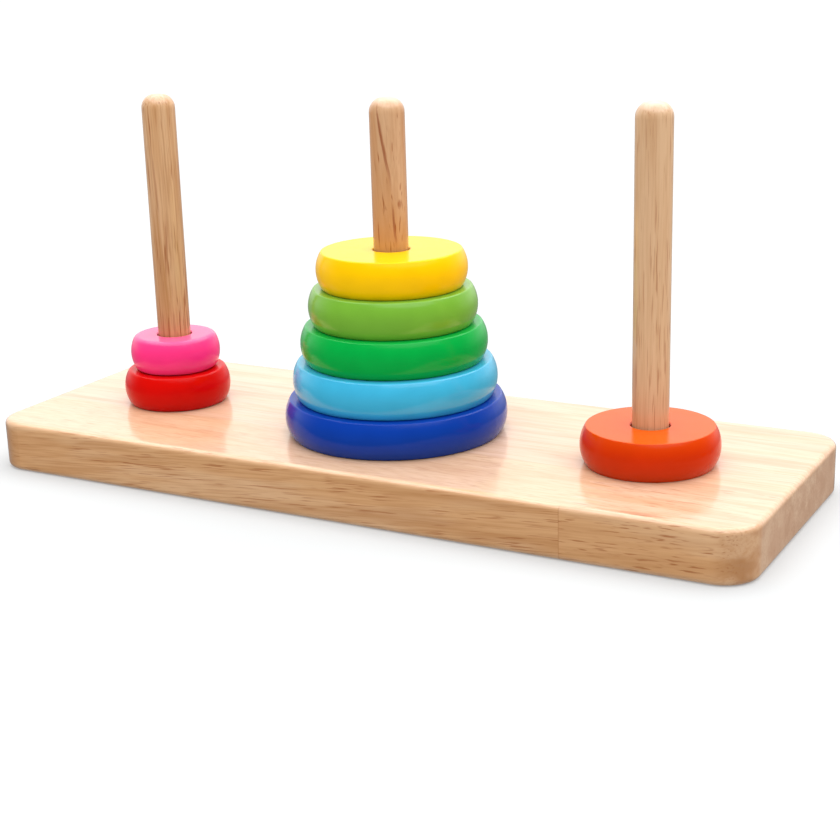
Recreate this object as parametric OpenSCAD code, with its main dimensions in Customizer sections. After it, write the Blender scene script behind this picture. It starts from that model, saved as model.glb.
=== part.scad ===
// Tower puzzle: a glued rubberwood board with three dowel pegs, and eight painted discs that lift off the pegs.
// X runs along the board, the front is -Y and Z is up. The origin is the middle of the board's underside.

/* [Board] */
// Length of the board
board_l = 286; // [238:1:344]
// Width of the board
board_w = 104; // [86:1:140]
// Thickness of the board
board_t = 18; // [15:0.5:30]
// Radius of the board's corners, seen from above
corner_r = 12; // [5:0.5:20]
// Rounding of the board's edges, above and below
edge_r = 2; // [0.5:0.25:4]
// Width of the middle stave, which carries the pegs
mid_stave_w = 35; // [20:1:50]

/* [Finger joint] */
// Place along the board where the joint shows on the front edge
joint_x = 83; // [-90:1:90]
// Number of fingers across the front stave
finger_n = 7; // [3:1:9]
// Length of each finger
finger_l = 11; // [6:0.5:16]
// Width of each finger's blunt tip
finger_tip = 0.8; // [0.4:0.1:1.5]

/* [Pegs] */
// Diameter of a peg
peg_d = 12; // [11:0.5:15]
// Height of the middle peg above the board
peg_h = 115.1; // [80:0.1:150]
// Step in height from each peg to the next one on its right
peg_rise = 1.25; // [-2:0.05:2]
// Distance from one peg to the next
peg_pitch = 94.3; // [78:0.1:113]
// Place of the middle peg along the board, from its middle
peg_row_x = -1; // [-4:0.5:4]
// Place of the row of pegs across the board, from its middle
peg_row_y = -1.5; // [-4:0.5:4]
// Rounding of a peg's top
peg_top_r = 4.9; // [1:0.1:5.5]
// Depth of a peg's socket in the board
socket_depth = 12; // [8:0.5:13]
// Glue line round a peg in its socket
glue_gap = 0.05; // [0:0.01:0.2]
// Chamfer on a peg's glued end
peg_chamfer = 1; // [0:0.25:2]

/* [Discs] */
// Diameter of the smallest disc
disc_d_min = 33; // [27:0.5:40]
// Step in diameter from each disc to the next larger one
disc_step = 6.4; // [5:0.1:7.7]
// Thickness of a disc
disc_t = 12.8; // [10:0.1:16]
// Gap between a peg and the wall of a disc's hole
hole_gap = 0.45; // [0.2:0.05:1.5]
// Bevel at the mouths of a disc's hole
hole_bevel = 0.3; // [0:0.1:1]
// Radius of the barrel curve of a disc's rim
rim_r = 11.5; // [8.5:0.5:30]
// Rounding between the rim and the flat faces on most discs
rim_edge_r = 0.8; // [0.2:0.1:2]
// The same rounding on the smallest disc, which is sanded rounder
pink_edge_r = 2.2; // [0.2:0.1:3]
// The same rounding on the second smallest disc
red_edge_r = 1.2; // [0.2:0.1:3]
// The same rounding on the third smallest disc, which has crisp edges
orange_edge_r = 0.4; // [0.2:0.1:3]

/* [Hidden] */
$fn = 96;

// Overshoot of a cutting shape past the surface that it cuts
over = 1;

// The pegs' places, as steps of peg_pitch from the middle
LEFT = -1;
MIDDLE = 0;
RIGHT = 1;

peg_r = peg_d / 2;
hole_r = peg_r + hole_gap;
front_stave_w = (board_w - mid_stave_w) / 2;
finger_pitch = front_stave_w / finger_n;

// Puts a piece over its peg's centre, at height z
module at_peg(place, z) {
  translate([peg_row_x + place * peg_pitch, peg_row_y, z]) children();
}

// A bar's end view, w wide and board_t thick, with all four edges rounded
module edge_profile(w) {
  translate([-w / 2, edge_r]) square([w, board_t - 2 * edge_r]);
  translate([edge_r - w / 2, 0]) square([w - 2 * edge_r, board_t]);
  for (x = [edge_r - w / 2, w / 2 - edge_r], z = [edge_r, board_t - edge_r]) {
    translate([x, z]) circle(edge_r);
  }
}

// The outer half of edge_profile, for the board's ends and corners
module half_profile() {
  intersection() {
    edge_profile(2 * corner_r);
    square([corner_r, board_t]);
  }
}

// The whole board before it is divided into staves
module board_blank() {
  // Middle length, out to the corners' centres
  translate([corner_r - board_l / 2, 0, 0]) rotate([90, 0, 90]) {
    linear_extrude(board_l - 2 * corner_r) edge_profile(board_w);
  }
  for (end = [0, 1]) {
    rotate([0, 0, 180 * end]) {
      // Straight end between the corners
      translate([board_l / 2 - corner_r, board_w / 2 - corner_r, 0]) rotate([90, 0, 0]) {
        linear_extrude(board_w - 2 * corner_r) half_profile();
      }
      for (side = [0, 1]) {
        translate([board_l / 2 - corner_r, (side * 2 - 1) * (board_w / 2 - corner_r), 0]) {
          rotate([0, 0, 90 * (side - 1)]) rotate_extrude(angle = 90) half_profile();
        }
      }
    }
  }
}

// The part of the board between two lines along it
module board_strip(y_from, y_to) {
  intersection() {
    board_blank();
    translate([-board_l / 2 - over, y_from, -over]) {
      cube([board_l + 2 * over, y_to - y_from, board_t + 2 * over]);
    }
  }
}

// Points of the finger joint's line, from in front of the board to its glue line with the middle stave
function joint_line() = concat(
  [[joint_x, -board_w / 2 - over]],
  [for (i = [0 : finger_n - 1], step = [0 : 3]) let (
    y = i * finger_pitch - board_w / 2,
    blunt = finger_tip / 2,
    x = step == 1 || step == 2 ? joint_x + finger_l : joint_x,
    dy = [blunt, finger_pitch / 2 - blunt, finger_pitch / 2 + blunt, finger_pitch - blunt][step]
  ) [x, y + dy]],
  [[joint_x, -mid_stave_w / 2]]
);

// The region of the front stave on one side of the finger joint, from the joint out to x_end
module joint_side(x_end) {
  translate([0, 0, -over]) linear_extrude(board_t + 2 * over) {
    polygon(concat(joint_line(), [[x_end, -mid_stave_w / 2], [x_end, -board_w / 2 - over]]));
  }
}

module front_stave_part(x_end) {
  intersection() {
    board_strip(-board_w / 2 - over, -mid_stave_w / 2);
    joint_side(x_end);
  }
}

module board_stave_front_left() {
  color("burlywood") front_stave_part(-board_l / 2 - over);
}

module board_stave_front_right() {
  color("tan") front_stave_part(board_l / 2 + over);
}

module board_stave_middle() {
  color("navajowhite") difference() {
    board_strip(-mid_stave_w / 2, mid_stave_w / 2);
    for (place = [LEFT, MIDDLE, RIGHT]) {
      at_peg(place, board_t - socket_depth) cylinder(h = socket_depth + over, r = peg_r + glue_gap);
    }
  }
}

module board_stave_back() {
  color("wheat") board_strip(mid_stave_w / 2, board_w / 2 + over);
}

// A dowel that stands on the bottom of its socket, with a chamfered foot and a rounded top
module peg(place) {
  peg_l = socket_depth + peg_h + place * peg_rise;
  shoulder_z = peg_l - peg_top_r;
  at_peg(place, board_t - socket_depth) rotate_extrude() {
    polygon([
      [0, 0], [peg_r - peg_chamfer, 0], [peg_r, peg_chamfer],
      [peg_r, shoulder_z], [peg_r - peg_top_r, shoulder_z], [peg_r - peg_top_r, peg_l], [0, peg_l]
    ]);
    translate([peg_r - peg_top_r, shoulder_z]) intersection() {
      circle(peg_top_r);
      square(peg_top_r);
    }
  }
}

module peg_left() {
  color("peru") peg(LEFT);
}

module peg_middle() {
  color("peru") peg(MIDDLE);
}

module peg_right() {
  color("peru") peg(RIGHT);
}

// Half section of a disc of outer radius r: flat faces, a barrel-curved rim and edges softened to soft_r
module disc_profile(r, soft_r) {
  mid_z = disc_t / 2;
  rim_x = r - rim_r;
  edge_x = rim_x + sqrt(pow(rim_r - soft_r, 2) - pow(mid_z - soft_r, 2));
  // Height above mid_z at which the rim's curve runs into the edge's rounding
  touch_dz = (mid_z - soft_r) * rim_r / (rim_r - soft_r);
  difference() {
    union() {
      square([edge_x, disc_t]);
      for (z = [soft_r, disc_t - soft_r]) {
        translate([edge_x, z]) circle(soft_r);
      }
      intersection() {
        translate([rim_x, mid_z]) circle(rim_r);
        translate([0, mid_z - touch_dz]) square([r, 2 * touch_dz]);
      }
    }
    hole_profile();
  }
}

// Half section of a disc's hole, bevelled at both mouths
module hole_profile() {
  mouth_r = hole_r + hole_bevel + over;
  polygon([
    [-over, -over], [mouth_r, -over], [hole_r, hole_bevel],
    [hole_r, disc_t - hole_bevel], [mouth_r, disc_t + over], [-over, disc_t + over]
  ]);
}

// The disc that is size steps larger than the smallest, lying on its peg above level other discs
module disc(size, place, level, soft_r = rim_edge_r) {
  at_peg(place, board_t + level * disc_t) rotate_extrude() {
    disc_profile((disc_d_min + size * disc_step) / 2, soft_r);
  }
}

module disc_pink() {
  color("deeppink") disc(size = 0, place = LEFT, level = 1, soft_r = pink_edge_r);
}

module disc_red() {
  color("red") disc(size = 1, place = LEFT, level = 0, soft_r = red_edge_r);
}

module disc_orange() {
  color("orangered") disc(size = 2, place = RIGHT, level = 0, soft_r = orange_edge_r);
}

module disc_yellow() {
  color("yellow") disc(size = 3, place = MIDDLE, level = 4);
}

module disc_light_green() {
  color("yellowgreen") disc(size = 4, place = MIDDLE, level = 3);
}

module disc_green() {
  color("green") disc(size = 5, place = MIDDLE, level = 2);
}

module disc_light_blue() {
  color("deepskyblue") disc(size = 6, place = MIDDLE, level = 1);
}

module disc_blue() {
  color("mediumblue") disc(size = 7, place = MIDDLE, level = 0);
}

board_stave_front_left();
board_stave_front_right();
board_stave_middle();
board_stave_back();
peg_left();
peg_middle();
peg_right();
disc_pink();
disc_red();
disc_orange();
disc_yellow();
disc_light_green();
disc_green();
disc_light_blue();
disc_blue();
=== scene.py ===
import bpy
import math
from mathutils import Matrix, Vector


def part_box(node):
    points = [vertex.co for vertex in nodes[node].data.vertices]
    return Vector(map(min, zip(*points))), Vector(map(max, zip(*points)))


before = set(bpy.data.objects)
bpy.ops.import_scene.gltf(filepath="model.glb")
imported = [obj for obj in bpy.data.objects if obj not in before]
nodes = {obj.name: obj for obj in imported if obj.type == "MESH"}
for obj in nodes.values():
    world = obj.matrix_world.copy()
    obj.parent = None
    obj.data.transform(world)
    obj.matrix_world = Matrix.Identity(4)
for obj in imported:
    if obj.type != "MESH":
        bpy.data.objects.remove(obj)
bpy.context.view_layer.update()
print("packed puzzle loaded:", len(nodes), "parts")

mm = 0.001  # one millimetre, in metres


# Camera: in front of the board, a little to the right and above the pegs' tops

cameraSettings = {
    "place": (0.2749, -0.4867, 0.1906),  # metres from the middle of the board's underside
    "turn": (73.06, 1.57, 28.31),        # degrees
    "lens": 71.1,
}


def addCamera(settings):
    data = bpy.data.cameras.new("camera")
    data.lens = settings["lens"]
    data.sensor_width = 36
    data.clip_end = 50
    camera = bpy.data.objects.new("camera", data)
    camera.location = settings["place"]
    camera.rotation_euler = [math.radians(a) for a in settings["turn"]]
    bpy.context.scene.collection.objects.link(camera)
    bpy.context.scene.camera = camera


# Helpers for all materials

def toLinear(hexColour):  # sRGB hex to linear, with alpha 1
    parts = [int(hexColour[i:i + 2], 16) / 255 for i in (1, 3, 5)]
    return tuple(c / 12.92 if c <= 0.04045 else ((c + 0.055) / 1.055) ** 2.4 for c in parts) + (1.0,)


def addNode(tree, kind, settings=None, links=None):
    # settings: properties by name, and input values by socket name or number
    # links: sockets by name or number, each with the output that feeds it
    node = tree.nodes.new(kind)
    for key, value in (settings or {}).items():
        if isinstance(key, str) and hasattr(node, key):
            setattr(node, key, value)
        else:
            node.inputs[key].default_value = value
    for key, output in (links or {}).items():
        tree.links.new(output, node.inputs[key])
    return node


def newMaterial(name, settings):
    material = bpy.data.materials.new(name)
    material.use_nodes = True
    tree = material.node_tree
    tree.nodes.clear()
    shader = addNode(tree, "ShaderNodeBsdfPrincipled", settings)
    addNode(tree, "ShaderNodeOutputMaterial", links={"Surface": shader.outputs[0]})
    return material, tree, shader


def setMaterial(piece, material):
    piece.data.materials.clear()
    piece.data.materials.append(material)


# White studio: soft light mostly from overhead, and gloss that mirrors a bright back wall

studioSettings = {
    "skyFront": 0.41,         # soft light from the camera's side of the room
    "skyBack": 0.58,          # and from the sides and the back, where the walls are lit
    "backdrop": 1.1,          # what stands behind the toy in the view
    "backMirror": 1.25,       # brightness of the back wall in glossy paint
    "frontMirror": 0.08,      # dark side of the room, behind the camera
    "topMirror": 0.3,         # ceiling
    "lowMirror": 0.28,        # how much of the walls' brightness is left below the table's level
    "frontWay": (0.49, -0.87, 0.0),
    "overheadPower": 4.6,     # watts per square metre
    "overheadAngle": 100.0,   # degrees that the light panels cover overhead
    "overheadLean": (-3.0, 6.0, 0.0),  # degrees, so that the panels hang a little to the right
    "floorSize": 8.0,         # metres
    "floorColour": "#ABADAE",
    "floorGlow": 0.25,        # light that passes up through the paper and thins the shadows
}


def addRoom(settings):
    world = bpy.data.worlds.new("white studio")
    bpy.context.scene.world = world
    world.use_nodes = True
    tree = world.node_tree
    way = addNode(tree, "ShaderNodeTexCoord")
    height = addNode(tree, "ShaderNodeSeparateXYZ", links={0: way.outputs["Generated"]})
    frontness = addNode(tree, "ShaderNodeVectorMath", {
        "operation": "DOT_PRODUCT", 1: settings["frontWay"]}, {0: way.outputs["Generated"]})
    # What gloss mirrors: walls that fade to the front and to below the table, and a ceiling
    wall = addNode(tree, "ShaderNodeMapRange", {
        "interpolation_type": "SMOOTHSTEP", "From Min": -0.75, "From Max": 0.1,
        "To Min": settings["backMirror"], "To Max": settings["frontMirror"]},
        {"Value": frontness.outputs["Value"]})
    low = addNode(tree, "ShaderNodeMapRange", {
        "interpolation_type": "SMOOTHSTEP", "From Min": -0.2, "From Max": 0.12,
        "To Min": settings["lowMirror"], "To Max": 1.0}, {"Value": height.outputs["Z"]})
    walls = addNode(tree, "ShaderNodeMath", {"operation": "MULTIPLY"},
                    {0: wall.outputs[0], 1: low.outputs[0]})
    above = addNode(tree, "ShaderNodeMapRange", {
        "interpolation_type": "SMOOTHSTEP", "From Min": 0.5, "From Max": 0.95},
        {"Value": height.outputs["Z"]})
    mirror = addNode(tree, "ShaderNodeMix", {"data_type": "FLOAT", 3: settings["topMirror"]},
                     {0: above.outputs[0], 2: walls.outputs[0]})
    # Soft light for everything else, and an even backdrop for the camera
    sky = addNode(tree, "ShaderNodeMapRange", {
        "interpolation_type": "SMOOTHSTEP", "From Min": -0.3, "From Max": 0.6,
        "To Min": settings["skyBack"], "To Max": settings["skyFront"]},
        {"Value": frontness.outputs["Value"]})
    ray = addNode(tree, "ShaderNodeLightPath")
    soft = addNode(tree, "ShaderNodeMix", {"data_type": "FLOAT"},
                   {0: ray.outputs["Is Glossy Ray"], 2: sky.outputs[0], 3: mirror.outputs[0]})
    strength = addNode(tree, "ShaderNodeMix", {"data_type": "FLOAT", 3: settings["backdrop"]},
                       {0: ray.outputs["Is Camera Ray"], 2: soft.outputs[0]})
    background = tree.nodes["Background"]
    background.inputs["Color"].default_value = (1, 1, 1, 1)
    tree.links.new(strength.outputs[0], background.inputs["Strength"])


def addOverheadPanels(settings):
    light = bpy.data.lights.new("overhead panels", "SUN")
    light.energy = settings["overheadPower"]
    light.angle = math.radians(settings["overheadAngle"])
    lamp = bpy.data.objects.new("overhead panels", light)
    lamp.location = (0, 0, 2)
    lamp.rotation_euler = [math.radians(a) for a in settings["overheadLean"]]
    bpy.context.scene.collection.objects.link(lamp)


def addFloor(settings):
    bpy.ops.mesh.primitive_plane_add(size=settings["floorSize"])
    floor = bpy.context.object
    floor.name = "floor"
    floor.visible_glossy = False
    # Matt white paper, lit from below too: the eye sees no gloss, and only thin grey shadows
    material, tree, shader = newMaterial("matt white paper", {
        "Base Color": toLinear(settings["floorColour"]), "Roughness": 0.9, "Specular IOR Level": 0.0,
        "Emission Color": (1, 1, 1, 1), "Emission Strength": settings["floorGlow"]})
    setMaterial(floor, material)


bpy.context.scene.view_settings.view_transform = "Standard"
addCamera(cameraSettings)
addRoom(studioSettings)
addOverheadPanels(studioSettings)
addFloor(studioSettings)
print("camera and studio set")


# Rubberwood: pale plantation hardwood, sanded and lacquered. The eye sees honey-coloured wood with short
# brown vessel lines along the grain, under a clear coat that mirrors the bright wall at low angles.

woodSettings = {
    "edge": "#D3A170",        # ripped edges and sides; the face is a paler copy of this colour
    "end": "#CA9A71",         # end grain
    "paintedLitFace": "#DFBB9E",        # top and underside, painted paler than the edges: a painted highlight for the bright overhead light
    "corner": "#8A5529",      # rounded corners drink the lacquer and turn darker
    "paleColour": "#DFB993",  # young pale bands
    "figureColour": "#B37A45",  # darker growth bands and fibres
    "vesselColour": "#9A5422",
    "markColour": "#98502A",
    "figure": 0.8,            # how strongly the bands and fibres show
    "dashes": 0.6,            # how strongly the vessel lines show
    "paintedLitFigure": 0.55,       # how much of the figure is left on the top and underside, faded there as painted highlight
    "paintedLitDashes": 0.5,        # how much of the vessel lines is left there, faded the same way as painted highlight
    "endDashes": -0.4,        # below zero, they fade out before the surface faces fully endward
    "vessels": {},            # changes to the vessel lines' pattern
    "coat": 1.0,
    "offset": (0, 0, 0),      # mm, where in the plank the piece was cut
    "tilt": (0, 0, 0),        # degrees that the grain runs out
    "marks": (),              # dark streaks
    "gluedEnd": None,         # where a glue line shows on the front, in metres along the board
}

# Width across the grain and length along it are in mm. A pattern shows where its noise passes from and is
# full at to. Vessel lines are drawn about 0.5 mm wide, wider than the real 0.3 mm, so that they show.
grainPatterns = {
    "pale": {"width": 9.6, "length": 72, "from": 0.45, "to": 0.65, "detail": 2, "shift": 11, "bend": 0.0},
    "bands": {"width": 6.0, "length": 84, "from": 0.45, "to": 0.68, "detail": 3, "shift": 3, "bend": 0.5},
    "fibres": {"width": 0.7, "length": 24, "from": 0.38, "to": 0.7, "detail": 2, "shift": 23, "bend": 0.1},
    "vessels": {"width": 0.5, "length": 12, "from": 0.56, "to": 0.68, "detail": 1, "shift": 31, "bend": 0.0},
    "groups": {"width": 4.0, "length": 22, "from": 0.4, "to": 0.6, "detail": 2, "shift": 43, "bend": 0.0},
}


def grain(tree, inMm, along, pattern, strength):
    # noise stretched along the grain, from 0 to strength
    scale = [1 / pattern["width"]] * 3
    scale["XYZ".index(along)] = 1 / pattern["length"]
    stretched = addNode(tree, "ShaderNodeVectorMath", {
        "operation": "MULTIPLY_ADD", 1: scale, 2: [pattern["shift"]] * 3}, {0: inMm})
    noise = addNode(tree, "ShaderNodeTexNoise", {
        "Scale": 1.0, "Detail": pattern["detail"], "Distortion": pattern["bend"]},
        {"Vector": stretched.outputs[0]})
    shown = addNode(tree, "ShaderNodeMapRange", {
        "interpolation_type": "SMOOTHSTEP", "From Min": pattern["from"], "From Max": pattern["to"],
        "To Max": strength}, {"Value": noise.outputs[0]})
    return shown.outputs[0]


def darkStreak(tree, place, foot, mark):
    # one ragged streak of darker wood, from 0 to its depth
    fromMiddle = addNode(tree, "ShaderNodeMapping", {
        "vector_type": "TEXTURE", "Location": [f + m * mm for f, m in zip(foot, mark["middle"])],
        "Rotation": (0, math.radians(mark["lean"]), 0), "Scale": [s * mm for s in mark["halfSizes"]]},
        {"Vector": place.outputs["Object"]})
    ragged = addNode(tree, "ShaderNodeTexNoise", {"Scale": 3.2, "Detail": 3.0},
                     {"Vector": fromMiddle.outputs[0]})
    distance = addNode(tree, "ShaderNodeVectorMath", {"operation": "LENGTH"}, {0: fromMiddle.outputs[0]})
    outline = addNode(tree, "ShaderNodeMath", {"operation": "MULTIPLY_ADD", 1: 0.9},
                      {0: ragged.outputs[0], 2: distance.outputs["Value"]})
    shown = addNode(tree, "ShaderNodeMapRange", {
        "interpolation_type": "SMOOTHSTEP", "From Min": 1.5, "From Max": 0.7, "To Max": mark["depth"]},
        {"Value": outline.outputs[0]})
    return shown.outputs[0]


def glueLine(tree, place, facing, gluedEnd):
    # a thin faint line across the front edge, where two lengths of wood meet
    spot = addNode(tree, "ShaderNodeSeparateXYZ", links={0: place.outputs["Object"]})
    onLine = addNode(tree, "ShaderNodeMath", {"operation": "COMPARE", 1: gluedEnd, 2: 0.2 * mm},
                     {0: spot.outputs["X"]})
    onFront = addNode(tree, "ShaderNodeMath", {"operation": "LESS_THAN", 1: -0.5}, {0: facing.outputs["Y"]})
    line = addNode(tree, "ShaderNodeMath", {"operation": "MULTIPLY"},
                   {0: onLine.outputs[0], 1: onFront.outputs[0]})
    faint = addNode(tree, "ShaderNodeMath", {"operation": "MULTIPLY", 1: 0.25}, {0: line.outputs[0]})
    return faint.outputs[0]


def layColours(tree, base, layers):
    # each layer's colour over what lies below it, as strongly as its share says
    wood = None
    for share, colour in layers:
        mixed = addNode(tree, "ShaderNodeMix", {
            "data_type": "RGBA", 6: toLinear(base), 7: toLinear(colour)}, {0: share})
        if wood:
            tree.links.new(wood, mixed.inputs[6])
        wood = mixed.outputs[2]
    return wood


def rubberwood(name, along, piece, foot):
    settings = {**woodSettings, **piece}
    material, tree, shader = newMaterial(name, {
        "Roughness": 0.5, "Specular IOR Level": 0.2,
        "Coat Weight": settings["coat"], "Coat Roughness": 0.14, "Coat IOR": 1.5})
    place = addNode(tree, "ShaderNodeTexCoord")
    inMm = addNode(tree, "ShaderNodeMapping", {
        "Location": settings["offset"], "Rotation": [math.radians(a) for a in settings["tilt"]],
        "Scale": (1 / mm, 1 / mm, 1 / mm)}, {"Vector": place.outputs["Object"]}).outputs[0]

    # How far the surface faces up, and how far it faces along the grain, from 0 to 1
    facing = addNode(tree, "ShaderNodeSeparateXYZ", links={0: place.outputs["Normal"]})
    upward = addNode(tree, "ShaderNodeMath", {"operation": "ABSOLUTE"}, {0: facing.outputs["Z"]}).outputs[0]
    endward = addNode(tree, "ShaderNodeMath", {"operation": "MULTIPLY"},
                      {0: facing.outputs[along], 1: facing.outputs[along]}).outputs[0]
    # Faces that look up get fainter grain and a paler colour: a painted highlight for the overhead light
    # that washes out the top
    paintedLitFigure = addNode(tree, "ShaderNodeMath", {
        "operation": "MULTIPLY_ADD", 1: settings["paintedLitFigure"] - 1, 2: 1.0}, {0: upward})
    paintedLitDashes = addNode(tree, "ShaderNodeMath", {
        "operation": "MULTIPLY_ADD", 1: settings["paintedLitDashes"] - 1, 2: 1.0}, {0: upward})
    endDashes = addNode(tree, "ShaderNodeMath", {
        "operation": "MULTIPLY_ADD", "use_clamp": True, 1: settings["endDashes"] - 1, 2: 1.0}, {0: endward})

    pale = grain(tree, inMm, along, grainPatterns["pale"], 0.5)
    bands = grain(tree, inMm, along, grainPatterns["bands"], 0.5 * settings["figure"])
    fibres = grain(tree, inMm, along, grainPatterns["fibres"], 0.45 * settings["figure"])
    vessels = grain(tree, inMm, along, {**grainPatterns["vessels"], **settings["vessels"]}, 1.0)
    groups = grain(tree, inMm, along, grainPatterns["groups"], 0.8)
    softBands = addNode(tree, "ShaderNodeMath", {"operation": "MULTIPLY"},
                        {0: bands, 1: paintedLitFigure.outputs[0]})
    softFibres = addNode(tree, "ShaderNodeMath", {"operation": "MULTIPLY"},
                         {0: fibres, 1: paintedLitFigure.outputs[0]})

    # Vessel lines come in loose groups, with a few between them
    grouped = addNode(tree, "ShaderNodeMath", {"operation": "ADD", 1: 0.2}, {0: groups})
    dashes = vessels
    for share in (grouped, paintedLitDashes, endDashes):
        dashes = addNode(tree, "ShaderNodeMath", {"operation": "MULTIPLY"},
                         {0: dashes, 1: share.outputs[0]}).outputs[0]
    shownDashes = addNode(tree, "ShaderNodeMath", {"operation": "MULTIPLY", 1: settings["dashes"]},
                          {0: dashes})

    layers = [(endward, settings["end"])]
    if along == "X":  # a stave, which has a face and corners
        rounding = addNode(tree, "ShaderNodeMath", {"operation": "MULTIPLY"},
                           {0: facing.outputs["X"], 1: facing.outputs["Y"]})
        corner = addNode(tree, "ShaderNodeMath", {"operation": "ABSOLUTE"}, {0: rounding.outputs[0]})
        # the paler face colour on upward faces is painted highlight
        layers.append((upward, settings["paintedLitFace"]))
        layers.append((corner.outputs[0], settings["corner"]))
    layers.append((pale, settings["paleColour"]))
    layers.append((softBands.outputs[0], settings["figureColour"]))
    layers.append((softFibres.outputs[0], settings["figureColour"]))
    layers.append((shownDashes.outputs[0], settings["vesselColour"]))
    for mark in settings["marks"]:
        layers.append((darkStreak(tree, place, foot, mark), settings["markColour"]))
    if settings["gluedEnd"]:
        layers.append((glueLine(tree, place, facing, settings["gluedEnd"]), settings["vesselColour"]))
    tree.links.new(layColours(tree, settings["edge"], layers), shader.inputs["Base Color"])

    pores = addNode(tree, "ShaderNodeBump", {"Strength": 0.2, "Distance": 0.1 * mm, "invert": True},
                    {"Height": dashes})
    tree.links.new(pores.outputs[0], shader.inputs["Normal"])
    return material


def footOf(nodeName):  # the middle of a part's underside
    low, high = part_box(nodeName)
    return ((low[0] + high[0]) / 2, (low[1] + high[1]) / 2, low[2])


# Board staves: each is cut from its own plank, so its grain starts somewhere else and runs out at its own
# slope. A mark is a dark streak: its middle in mm from the middle of the piece's underside, its half sizes
# in mm, its lean about Y in degrees, and its depth of colour.

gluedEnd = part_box("board_stave_front_right")[0][0]  # the front lengths' joint, in metres along the board

staveSettings = {
    "board_stave_front_left": {
        # its paler top colour, and the fainter grain there, are painted highlight
        "paintedLitFace": "#DEB896", "tilt": (0, 4.5, 0.6), "figure": 0.9, "gluedEnd": gluedEnd,
    },
    "board_stave_front_right": {
        "offset": (900, 40, 70), "tilt": (0, 3.0, 0.5), "figure": 0.55, "dashes": 0.7,
        "paintedLitFigure": 1.0, "paintedLitDashes": 0.6, "vessels": {"width": 0.65, "length": 7}, "gluedEnd": gluedEnd,
        "marks": [{"middle": (-5.0, -14.05, 18), "halfSizes": (11, 1.8, 1.5), "lean": 0, "depth": 0.4}],
    },
    "board_stave_middle": {
        "offset": (300, 400, 10), "tilt": (0, 0.5, -0.8), "dashes": 0.5, "paintedLitFigure": 0.8,
    },
    "board_stave_back": {
        "offset": (-500, 200, 90), "tilt": (0, 0, 0.7), "dashes": 0.5, "paintedLitFigure": 0.8,
    },
}

for nodeName, stave in staveSettings.items():
    name = "lacquered rubberwood, " + nodeName.replace("_", " ")
    setMaterial(nodes[nodeName], rubberwood(name, "X", stave, footOf(nodeName)))
print("board finished")


# Pegs: dowels turned from the same wood, each with its own streaks

# Each peg's end colour, on its domed top, is end grain painted much paler than its sides: a painted
# highlight for the overhead light
pegSettings = {
    "peg_left": {
        "edge": "#D3A273", "end": "#E3C3AC", "offset": (50, 0, 0), "tilt": (0, 1, 0),
        "figure": 1.2, "dashes": 0.8, "vessels": {"length": 14}, "coat": 0.7,
        "marks": [
            {"middle": (-0.3, -5.9, 41), "halfSizes": (0.5, 2, 9), "lean": 0, "depth": 0.5},
            {"middle": (1.9, -5.7, 40), "halfSizes": (0.4, 2, 7), "lean": 0, "depth": 0.5},
            {"middle": (3.7, -4.3, 42), "halfSizes": (0.5, 2, 8), "lean": 0, "depth": 0.4},
            {"middle": (3.1, -5.1, 72), "halfSizes": (0.8, 2, 14), "lean": 3, "depth": 0.35},
            {"middle": (0.7, -6.1, 94), "halfSizes": (0.7, 2, 16), "lean": -3, "depth": 0.35},
        ],
    },
    "peg_middle": {
        "edge": "#CA9668", "end": "#EACEB8", "offset": (0, 150, 300), "tilt": (3, 6, 0),
        "figure": 0.5, "dashes": 0.8, "vessels": {"width": 0.7, "from": 0.62, "to": 0.74}, "coat": 0.7,
        "marks": [
            {"middle": (1.5, -5.8, 111), "halfSizes": (0.7, 3, 17), "lean": -9, "depth": 0.8},
            {"middle": (0.2, -5.9, 118), "halfSizes": (0.5, 3, 8), "lean": -7, "depth": 0.6},
            {"middle": (4.0, -4.5, 85), "halfSizes": (0.5, 3, 10), "lean": -3, "depth": 0.75},
            {"middle": (-1.3, -5.8, 82), "halfSizes": (0.4, 3, 6), "lean": -2, "depth": 0.7},
            {"middle": (5.3, -2.9, 92), "halfSizes": (0.5, 2, 2), "lean": 0, "depth": 0.6},
        ],
    },
    "peg_right": {
        "edge": "#D8B088", "end": "#EACEB8", "offset": (0, 60, 700), "tilt": (0.5, 0, 0),
        "figure": 0.5, "dashes": 0.5, "coat": 0.7,
    },
}

for nodeName, peg in pegSettings.items():
    name = "lacquered dowel, " + nodeName.replace("_", " ")
    setMaterial(nodes[nodeName], rubberwood(name, "Z", peg, footOf(nodeName)))
print("pegs finished")


# Painted discs: turned wood under two coats of gloss enamel. The flat faces get a paler, lighter copy of the
# rim's colour, a painted highlight for the overhead light on them.
# The eye sees strong even colour with a soft sheen, and pale bands where the rims mirror the wall.

discSettings = {  # the flat colour is the rim's with a painted highlight; gloss: how strongly the enamel mirrors the room
    "disc_pink": {"rim": "#F83180", "flat": "#F85E93", "gloss": 0.3},
    "disc_red": {"rim": "#CE0802", "flat": "#CE0802", "gloss": 0.12},
    "disc_orange": {"rim": "#C92F00", "flat": "#DC5706", "gloss": 0.15},
    "disc_yellow": {"rim": "#F5BF00", "flat": "#F6C700", "gloss": 0.12},
    "disc_light_green": {"rim": "#73AC33", "flat": "#76B035", "gloss": 0.4},
    "disc_green": {"rim": "#00A340", "flat": "#01A73F", "gloss": 0.2},
    "disc_light_blue": {"rim": "#3AADD4", "flat": "#3AADD4", "gloss": 0.5},
    "disc_blue": {"rim": "#08399E", "flat": "#08399E", "gloss": 0.19},
}

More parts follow.
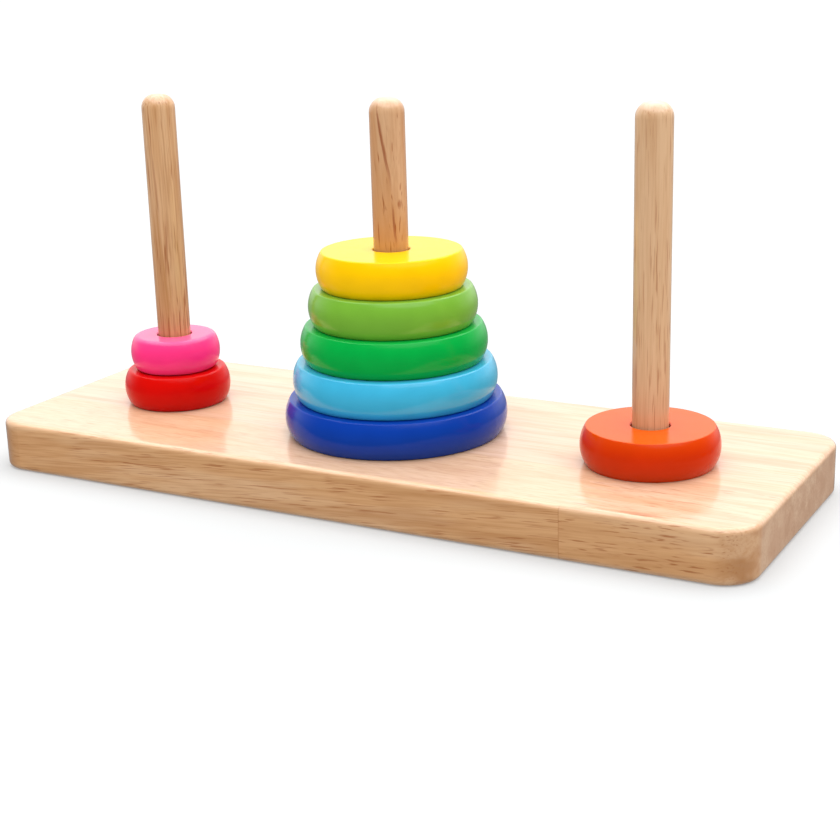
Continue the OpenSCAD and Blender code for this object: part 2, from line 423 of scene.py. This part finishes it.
enamelSettings = {
    "roughness": 0.19,
    "peelSize": 1.4,          # mm, fine orange peel
    "waveSize": 7.7,          # mm, slow waves left by the brush
}


def glossEnamel(name, paint, enamel):
    material, tree, shader = newMaterial(name, {
        "Roughness": enamel["roughness"], "IOR": 1.5, "Specular IOR Level": paint["gloss"]})
    place = addNode(tree, "ShaderNodeTexCoord")
    peel = addNode(tree, "ShaderNodeTexNoise", {"Scale": 1 / (enamel["peelSize"] * mm), "Detail": 1.0},
                   {"Vector": place.outputs["Object"]})
    waves = addNode(tree, "ShaderNodeTexNoise", {"Scale": 1 / (enamel["waveSize"] * mm), "Detail": 1.0},
                    {"Vector": place.outputs["Object"]})
    fineBump = addNode(tree, "ShaderNodeBump", {"Strength": 0.2, "Distance": 0.04 * mm},
                       {"Height": peel.outputs[0]})
    slowBump = addNode(tree, "ShaderNodeBump", {"Strength": 0.3, "Distance": 0.2 * mm},
                       {"Height": waves.outputs[0], "Normal": fineBump.outputs[0]})
    tree.links.new(slowBump.outputs[0], shader.inputs["Normal"])

    # Upward flat faces take the flat colour, a painted highlight over the rim's colour
    facing = addNode(tree, "ShaderNodeSeparateXYZ", links={0: place.outputs["Normal"]})
    flatness = addNode(tree, "ShaderNodeMath", {"operation": "MULTIPLY"},
                       {0: facing.outputs["Z"], 1: facing.outputs["Z"]})
    rimAndLitFlat = addNode(tree, "ShaderNodeMix", {
        "data_type": "RGBA", 6: toLinear(paint["rim"]), 7: toLinear(paint["flat"])},
        {0: flatness.outputs[0]})
    # The brush also leaves the pigment a little thicker in places
    pigment = addNode(tree, "ShaderNodeMapRange", {
        "From Min": 0.3, "From Max": 0.7, "To Min": 0.97, "To Max": 1.03}, {"Value": waves.outputs[0]})
    colour = addNode(tree, "ShaderNodeHueSaturation",
                     links={"Color": rimAndLitFlat.outputs[2], "Value": pigment.outputs[0]})
    tree.links.new(colour.outputs[0], shader.inputs["Base Color"])
    return material


for nodeName, paint in discSettings.items():
    name = nodeName.replace("disc_", "").replace("_", " ") + " gloss enamel"
    setMaterial(nodes[nodeName], glossEnamel(name, paint, enamelSettings))
print("discs painted")
